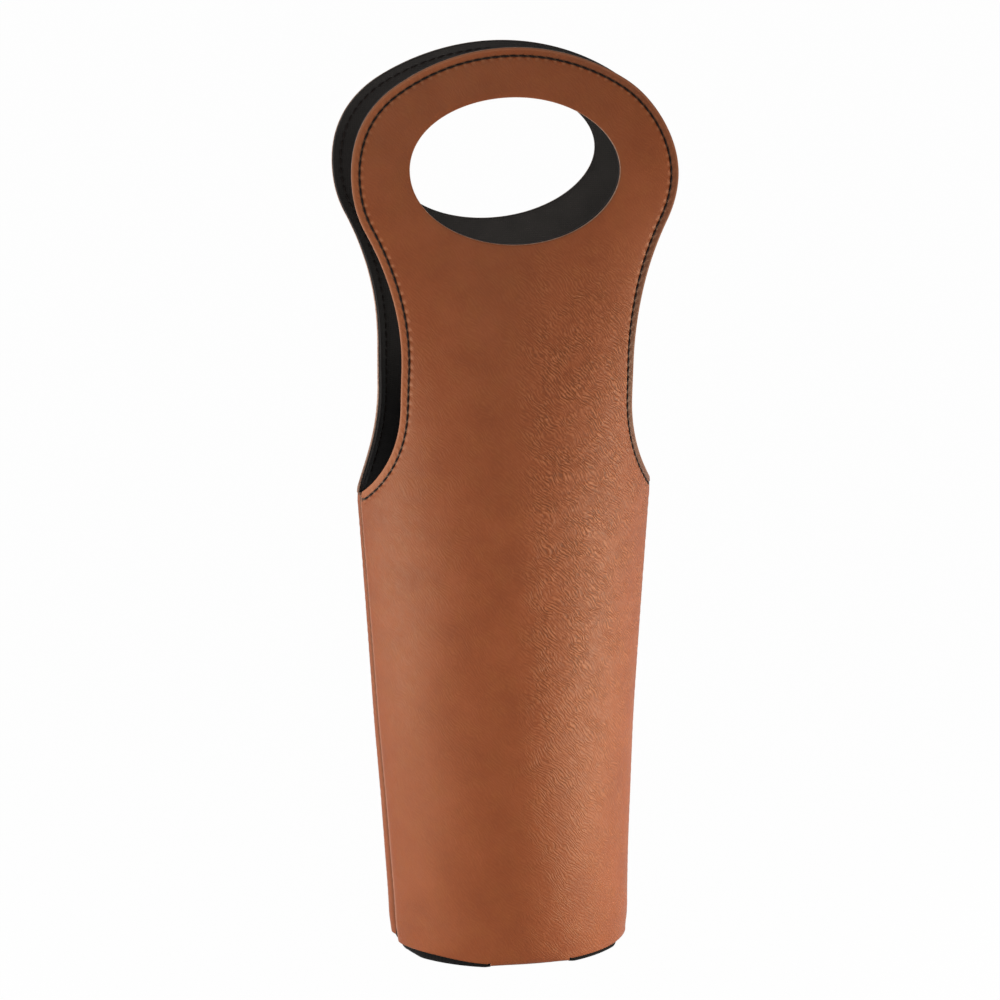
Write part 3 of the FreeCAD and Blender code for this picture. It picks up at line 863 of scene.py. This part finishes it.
def fibre(name, low, high, scale):
    """Pressed fibres, as in felt or greyboard."""
    material, n = shade(name, high, 0.85, 0.2)
    hair = n.noise(n.solid(), scale, 4.0, 0.7, 0.8)
    n.wear(Base_Color=n.colours(hair, (0.3, low), (0.7, high)), Normal=n.bump(hair, 0.0002, 0.6))
    return material


LEATHERETTE = leatherette()
CUT_EDGE = cut_edge()
LINING_CLOTH = woven("lining_cloth", (23, 20, 19), (41, 37, 35), 0.45, 0.8, 0.15, 0.2)
BASE_CLOTH = woven("base_cloth", (12, 11, 11), (24, 22, 21), 0.6, 0.8, 0.05, 0.12)
TAPE_CLOTH = woven("tape_cloth", (20, 18, 18), (38, 35, 34), 0.5)
THREAD = thread()
FELT_FIBRE = fibre("felt", (38, 34, 32), (62, 57, 54), 700.0)
BOARD_FIBRE = fibre("greyboard", (112, 106, 98), (146, 139, 130), 500.0)


def dress(piece, slot, *materials):
    for material in materials:
        piece.data.materials.append(material)


# The two panels, each one sheet from the hem to the top of its handle

# Depth of the groove that the stitching draws in each face, and its section
GROOVE, LINING_GROOVE, GROOVE_SIDE, GROOVE_POWER = 0.42, 0.4, 1.15, 1.3


def stitch_relief(gap):
    """How far a face dips towards the stitching, as a share: it rises again towards the cut edge."""
    inside = np.exp(-((np.maximum(gap - STITCH_INSET, 0.0) / GROOVE_SIDE) ** 2))
    return inside * np.clip(gap / STITCH_INSET, 0.0, 1.0) ** GROOVE_POWER


# Section of the leatherette's edge, and how many of its bands are still coated
OUTER_RIM = [(0.7, 0.0), (0.3, 0.08), (0.07, 0.3), (0.0, 0.62), (0.0, 0.9), (0.12, OUTER[1])]
COATED_BANDS = 2
FELT_CURVE, LINING_CURVE = 0.15, 0.35


def rim(depths, curve):
    """Section of a cut edge between two depths, rounded at both faces."""
    near, far = depths
    return [
        (curve, near),
        (0.35 * curve, near + 0.12 * curve),
        (0.0, near + 0.7 * curve),
        (0.0, far - 0.7 * curve),
        (0.35 * curve, far - 0.12 * curve),
        (curve, far),
    ]


def to_seams(line, run):
    """The same open line, run on straight at both ends."""
    ends = [(line[a] - line[b]) / np.linalg.norm(line[a] - line[b]) for a, b in ((0, 2), (-1, -3))]
    return np.concatenate([[line[0] + ends[0] * run], line, [line[-1] + ends[1] * run]])


# Spacing of mesh points on the cut, on the hole and in the face between
Steps = namedtuple("Steps", "cut hole face")
OUTER_STEPS, FELT_STEPS, LINING_STEPS = Steps(1.6, 1.3, 2.3), Steps(3.0, 2.5, 6.0), Steps(2.0, 1.8, 3.0)
INSETS = (1.1, 2.0, 2.7, 3.3, 3.9, 4.7, 5.8)

# How far the outer stitches run on at the seams, and the points that the inner ones leave out there
STITCH_RUN_ON, INNER_SHORT = 4.5, 8

edge_line = right_edge(OUTER_STEPS.hole)
sewn_line = np.concatenate([edge_line, mirrored(edge_line)[1:]])
needle_line = sewn_line + inward_open(sewn_line) * STITCH_INSET
stitch_line = to_seams(needle_line, STITCH_RUN_ON)
inner_stitch_line = needle_line[INNER_SHORT:-INNER_SHORT]


def panel(side, place, right_hem, left_hem):
    """Everything of one panel: outer sheet, felt, lining and stitching."""
    aside = HOLE_ASIDE if side == "front" else -HOLE_ASIDE
    outer_loops = [outer_cut(OUTER_STEPS.cut, right_hem, left_hem), hole_edge(OUTER_STEPS.hole, aside)]
    outer = sheet_object(
        f"{side}_leatherette", outer_loops, place, OUTER_RIM, OUTER_STEPS.face,
        INSETS, sewn_line, (GROOVE, 0.0), COATED_BANDS,
    )
    dress(outer, "leatherette", LEATHERETTE, CUT_EDGE)
    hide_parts(f"{side}_panel", f"{side}_handle_panel")

    felt_loops = [inner_cut(FELT_STEPS.cut), hole_edge(FELT_STEPS.hole, aside)]
    felt = sheet_object(f"{side}_felt", felt_loops, place, rim(FELT, FELT_CURVE), FELT_STEPS.face)
    dress(felt, "interlining", FELT_FIBRE, FELT_FIBRE)
    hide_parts(f"{side}_interlining", f"{side}_handle_core")

    lining_loops = [inner_cut(LINING_STEPS.cut), hole_edge(LINING_STEPS.hole, aside)]
    lining = sheet_object(
        f"{side}_lining_cloth", lining_loops, place, rim(LINING, LINING_CURVE), LINING_STEPS.face,
        INSETS, sewn_line, (0.0, LINING_GROOVE),
    )
    dress(lining, "lining", LINING_CLOTH, LINING_CLOTH)
    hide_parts(f"{side}_lining", f"{side}_handle_lining")

    parts = [
        sewn_stitches(place, stitch_line, OUTER[0] + GROOVE, 1),
        sewn_stitches(place, inner_stitch_line, LINING[1] - LINING_GROOVE, -1),
    ]
    sewing = new_object(f"{side}_stitches", *joined(parts))
    dress(sewing, "thread", THREAD)
    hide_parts(f"{side}_armhole_stitching", f"{side}_handle_stitching")

    for piece in (outer, felt, lining, sewing):
        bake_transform(piece)


panel("front", front_place, RIGHT_HEM, LEFT_HEM)
panel("back", back_place, LEFT_HEM, RIGHT_HEM)


# Base and side seams, each drawn at the right and turned half round for the left


def turned(points):
    return points * (-1, -1, 1)


def sleeve_piece(name, slot, material, node, points, faces, flat, marks=None):
    """A piece that stands for one node and rides on the sleeve."""
    piece = new_object(name, points, faces, flat, None, marks)
    dress(piece, slot, material)
    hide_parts(node)
    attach(piece, "sleeve")
    return piece


Counts = namedtuple("Counts", "face turn wall")
LEAST_BEND = 0.5


def hem_line(inset, start_x, counts):
    """Half round the hem's oval on the right, bridged across the seam, from the strap's front to its back."""
    at = fold(HEM)
    radius, bend = at.radius - inset, max(at.bend - inset, LEAST_BEND)
    side = at.x + at.bend - inset
    middle = side - bend
    corner = at.centre - math.sqrt((radius - bend) ** 2 - middle**2)
    touch = math.atan2(corner - at.centre, middle)
    angles = np.linspace(math.asin(start_x / radius), touch + math.pi / 2, counts.face)
    face = np.stack([radius * np.sin(angles), at.centre - radius * np.cos(angles)], 1)
    angles = np.linspace(touch, 0, counts.turn)[1:]
    turn = np.stack([middle + bend * np.cos(angles), corner + bend * np.sin(angles)], 1)
    levels = np.linspace(corner, 0, counts.wall)[1:]
    wall = np.stack([np.full_like(levels, side), levels], 1)
    front = np.concatenate([face, turn, wall])
    return np.concatenate([front, front[-2::-1] * (1, -1)])


# Section of the gusset, as (in from the hem's oval, height), and its points that belong to the foot
GUSSET_SECTION = (
    (9.0, 0.30), (5.0, 0.12), (2.9, 0.05), (2.1, 0.12), (1.55, 0.35), (1.2, 0.8), (1.1, 1.3),
    (1.1, 1.8), (1.1, 2.3), (1.1, 2.8), (1.15, 3.4), (1.15, 4.0), (1.2, 6.6), (1.5, 7.6),
    (2.0, 7.9), (2.5, 7.4), (2.6, 3.0), (3.2, 1.9), (4.4, 1.1), (9.0, 1.0),
)
GUSSET_FOOT = range(3, 12)
GUSSET_START, GUSSET_COUNTS = STRAP_HALF - 0.6, Counts(60, 16, 6)

# How far the foot swells out and draws in, its drop below the hem, and how far from the seam it changes
LIP, LIP_IN, LIP_BELOW = 2.0, 1.1, 0.15
RIGHT_CLEAR, LEFT_CLEAR = 19.0, 15.0
LIP_LEAD, STRAP_EASE, SEAM_EASE, DRAW_EASE = 2.0, 5.0, 10.0, 8.0


def lip_swell(from_strap, clear):
    """How far the foot swells out at lengths from the strap: within clear of the seam it draws in."""
    seam = from_strap.max()
    out = LIP * smooth((from_strap + LIP_LEAD) / STRAP_EASE) * smooth((seam - from_strap - clear) / SEAM_EASE)
    return out - LIP_IN * smooth((from_strap - seam + clear + LIP_LEAD) / DRAW_EASE)


def gusset(corner, clear):
    """Cloth round one end of the base and across its floor. Its foot swells out below the hem."""
    lines = [hem_line(inset, GUSSET_START, GUSSET_COUNTS) for inset, _ in GUSSET_SECTION]
    wide, narrow = (hem_line(inset, GUSSET_START, GUSSET_COUNTS) for inset in (0.0, 1.0))
    out = unit(wide - narrow)
    from_strap = run_lengths(wide)
    from_strap = np.minimum(from_strap, from_strap[-1] - from_strap)
    swell = lip_swell(from_strap, clear)
    height = hem_height(STRAP_HALF + from_strap, corner) - LIP_BELOW
    rows = []
    for i in range(len(wide)):
        row = []
        for j, (line, (_, level)) in enumerate(zip(lines, GUSSET_SECTION)):
            share = 1 - min(level / height[i], 1.0) ** 2 if j in GUSSET_FOOT else 0.0
            row.append((*(line[i] + out[i] * swell[i] * share), level))
        rows.append(row)
    points, faces = swept(rows)
    size, count = len(GUSSET_SECTION), len(rows)
    del faces[size - 1 : (count - 1) * size : size]
    under, over = (tuple(range(start, count * size, size)) for start in (0, size - 1))
    faces += [under[::-1], over, (under[-1], under[0], over[0], over[-1])]
    return points, faces, plain_flat(points)


def plain_flat(points):
    """A flat pattern for small pieces: their plan, with height added so that walls are covered too."""
    return np.stack([points[:, 0] + 0.4 * points[:, 2], points[:, 1] + points[:, 2]], 1)


# Foot and top of the seam's tape and stitches, and the stitches' place
SEAM_FOOT, TAPE_DROP, SEAM_STITCH_DROP = 10.5, 4.2, 4.0
SEAM_STITCH_IN, SEAM_STITCH_OUT = 0.9, 1.12
TAPE_ROWS, TAPE_BEND_POINTS, SEAM_POINTS = 60, 11, 120


def seam_x(z):
    """Place of the right seam's turned edge at a height."""
    return fold(z).x


def tape():
    """Binding in a rounded fold over the raw edges of both allowances."""
    leg, wall, start, bend = 1.35, 0.5, 1.9, 3.8
    turn = np.linspace(math.pi / 2, -math.pi / 2, TAPE_BEND_POINTS)
    outside = [(bend + (leg + wall) * math.cos(a), (leg + wall) * math.sin(a)) for a in turn]
    inside = [(bend + leg * math.cos(a), leg * math.sin(a)) for a in turn[::-1]]
    section = [(start, leg + wall), *outside, (start, -leg - wall), (start, -leg), *inside, (start, leg)]
    rows = []
    for z in np.linspace(SEAM_TOP - TAPE_DROP, SEAM_FOOT, TAPE_ROWS):
        x = seam_x(z)
        rows.append([(x - along, y, z) for along, y in section])
    points, faces = swept(rows)
    return points, faces, plain_flat(points)


def seam_stitches():
    """The line that closes the seam, on both faces of the allowances."""
    z = np.linspace(SEAM_FOOT, SEAM_TOP - SEAM_STITCH_DROP, SEAM_POINTS)
    parts = []
    for y in (-1.0, 1.0):
        path = np.stack([seam_x(z) - SEAM_STITCH_IN, np.full_like(z, SEAM_STITCH_OUT * y), z], 1)
        first, last = stitch_ends(path)
        parts.append(stitch_mesh(first, last, np.tile((0.0, y, 0.0), (len(first), 1))))
    return joined(parts)


# Place of the rim's stitches, and the points of each run before the seam
RIM_STITCH_IN, RIM_STITCH_LEVEL, RIM_STITCH_START = 2.65, 6.0, STRAP_HALF + 2.0
RIM_COUNTS, RIM_RUN = Counts(60, 20, 6), 75


def rim_stitches():
    """The line that sews the gusset's rim to the panels, on its inner side."""
    line = hem_line(RIM_STITCH_IN, RIM_STITCH_START, RIM_COUNTS)
    parts = []
    for part in (line[:RIM_RUN], line[-RIM_RUN:]):
        path = np.column_stack([part, np.full(len(part), RIM_STITCH_LEVEL)])
        first, last = stitch_ends(path)
        outs = -(first + last) / 2 * (1, 1, 0)
        parts.append(stitch_mesh(first, last, outs))
    return joined(parts)


for side, place, corner, clear in (
    ("right", np.asarray, RIGHT_HEM, RIGHT_CLEAR),
    ("left", turned, LEFT_HEM, LEFT_CLEAR),
):
    for name, slot, material, node, (points, faces, flat) in (
        ("gusset_cloth", "base_cloth", BASE_CLOTH, "base_gusset", gusset(corner, clear)),
        ("tape_cloth", "lining", TAPE_CLOTH, "seam_tape", tape()),
        ("seam_stitches", "thread", THREAD, "seam_thread", seam_stitches()),
        ("rim_stitches", "thread", THREAD, "base_thread", rim_stitches()),
    ):
        sleeve_piece(f"{side}_{name}", slot, material, f"{side}_{node}", place(points), faces, flat)

# Half of the strap's run between the tongues, and a distance from every edge and stitch
STRAP_RUN = STRAP_LINE - 4.4
STRAP_ROWS, NO_EDGE = 60, 20.0


def strap():
    """The strap's flat run under the base, between the two panels' tongues."""
    section = [(-1, 0.35), (-0.985, 0.12), (-0.93, 0.02), (0.93, 0.02), (0.985, 0.12), (1, 0.35)]
    section += [(1, 0.7), (0.98, 0.93), (0.93, 1.0), (-0.93, 1.0), (-0.98, 0.93), (-1, 0.7)]
    levels = np.linspace(-STRAP_RUN, STRAP_RUN, STRAP_ROWS)
    return swept([[(x * STRAP_HALF, y, z) for x, z in section] for y in levels])


points, faces = strap()
far = np.full(len(points), NO_EDGE)
marks = {"edge": far, "turn": -far}
piece = sleeve_piece(
    "strap_leatherette", "leatherette", LEATHERETTE, "base_strap", points, faces, points[:, :2], marks
)

# The base lining's distance in from the hem's oval, its half depth, and how many points each part of its oval
# has
BASE_LINING_IN, BASE_LINING_DEEP, BASE_LINING_COUNTS = 3.9, 36.4, Counts(30, 10, 6)


def base_lining():
    """Soft oval of lining cloth over the board, a little fuller in the middle."""
    right = hem_line(BASE_LINING_IN, 0.0, BASE_LINING_COUNTS)
    oval = np.concatenate([right, -right[1:-1]])[::-1]
    oval[:, 1] = np.clip(oval[:, 1], -BASE_LINING_DEEP, BASE_LINING_DEEP)
    section = [(0.02, 3.05), (0.6, 3.03), (0.985, 3.03), (1.0, 3.3)]
    section += [(0.985, 3.55), (0.95, 3.68), (0.6, 3.9), (0.02, 4.1)]
    return swept([np.column_stack([oval * share, np.full(len(oval), z)]) for share, z in section])


points, faces = base_lining()
piece = sleeve_piece("base_lining_cloth", "lining", LINING_CLOTH, "base_lining", points, faces, points[:, :2])

board = frame["nodes"]["base_board"]
board.data.materials.clear()
board.data.materials.append(BOARD_FIBRE)


# Floor, light and camera

FLOOR_HALF, FLOOR_GLOW, WORLD_LIGHT = 3.0, 0.985, 0.165
WHITE = (1, 1, 1, 1)


def stage_floor():
    """A floor that the camera sees as nearly plain white."""
    mesh = bpy.data.meshes.new("floor")
    corners = [(x * FLOOR_HALF, y * FLOOR_HALF, 0) for x, y in ((-1, -1), (1, -1), (1, 1), (-1, 1))]
    mesh.from_pydata(corners, [], [(0, 1, 2, 3)])
    floor = bpy.data.objects.new("floor", mesh)
    bpy.context.scene.collection.objects.link(floor)
    material, n = shade("floor", (205, 205, 205), 0.9, 0.1)
    glow = n.add("Emission", Color=WHITE, Strength=1.0)
    path = n.add("LightPath").outputs
    seen = n.greatest(path["Is Camera Ray"], path["Is Glossy Ray"], path["Is Transmission Ray"])
    n.output("Material Output", n.product(seen, FLOOR_GLOW), n.tree.nodes["Principled BSDF"], glow)
    mesh.materials.append(material)


def stage_world():
    """Dim light from all round, and a background that the camera sees as white."""
    world = bpy.data.worlds.new("studio")
    bpy.context.scene.world = world
    world.use_nodes = True
    n = Nodes(world.node_tree)
    light = n.tree.nodes["Background"]
    light.inputs["Color"].default_value = WHITE
    light.inputs["Strength"].default_value = WORLD_LIGHT
    white = n.add("Background", Color=WHITE, Strength=1.0)
    path = n.add("LightPath").outputs
    n.output("World Output", n.greatest(path["Is Camera Ray"], path["Is Transmission Ray"]), light, white)


def soft_light(name, where, aim, size, power, colour=(1, 1, 1)):
    """A lamp that shines at a height on the carrier's axis."""
    lamp = bpy.data.lights.new(name, "AREA")
    lamp.shape = "RECTANGLE"
    lamp.size, lamp.size_y = size
    lamp.energy = power
    lamp.color = colour
    light = bpy.data.objects.new(name, lamp)
    bpy.context.scene.collection.objects.link(light)
    light.location = where
    light.rotation_euler = (Vector((0, 0, aim)) - Vector(where)).to_track_quat("-Z", "Y").to_euler()


# The camera's distance, angles and aim, its sensor's width, and its lens in widths of the sensor
EYE_DISTANCE, AZIMUTH, ELEVATION = 2.3, math.radians(-13.0), math.radians(14.0)
EYE_AIM = (-0.00265, 0.0, 0.1887)
SENSOR, LENS = 36.0, 5.5825


def stage_camera():
    """The photograph's view."""
    level = math.cos(ELEVATION)
    back = Vector((math.sin(AZIMUTH) * level, -math.cos(AZIMUTH) * level, math.sin(ELEVATION)))
    camera = bpy.data.objects.new("camera", bpy.data.cameras.new("camera"))
    bpy.context.scene.collection.objects.link(camera)
    camera.location = Vector(EYE_AIM) + back * EYE_DISTANCE
    camera.rotation_euler = (-back).to_track_quat("-Z", "Y").to_euler()
    camera.data.sensor_width = SENSOR
    camera.data.lens = SENSOR * LENS
    bpy.context.scene.camera = camera


stage_floor()
stage_world()
soft_light("left_light", (-0.44, -0.06, 0.075), 0.075, (0.34, 0.15), 1.6)
soft_light("right_light", (0.36, -0.155, 0.05), 0.05, (0.27, 0.1), 1.68, (1.0, 0.99, 0.92))
soft_light("front_light", (-0.2, -1.55, 1.1), 0.19, (1.2, 1.0), 10.8)
stage_camera()
bpy.context.scene.view_settings.view_transform = "Standard"
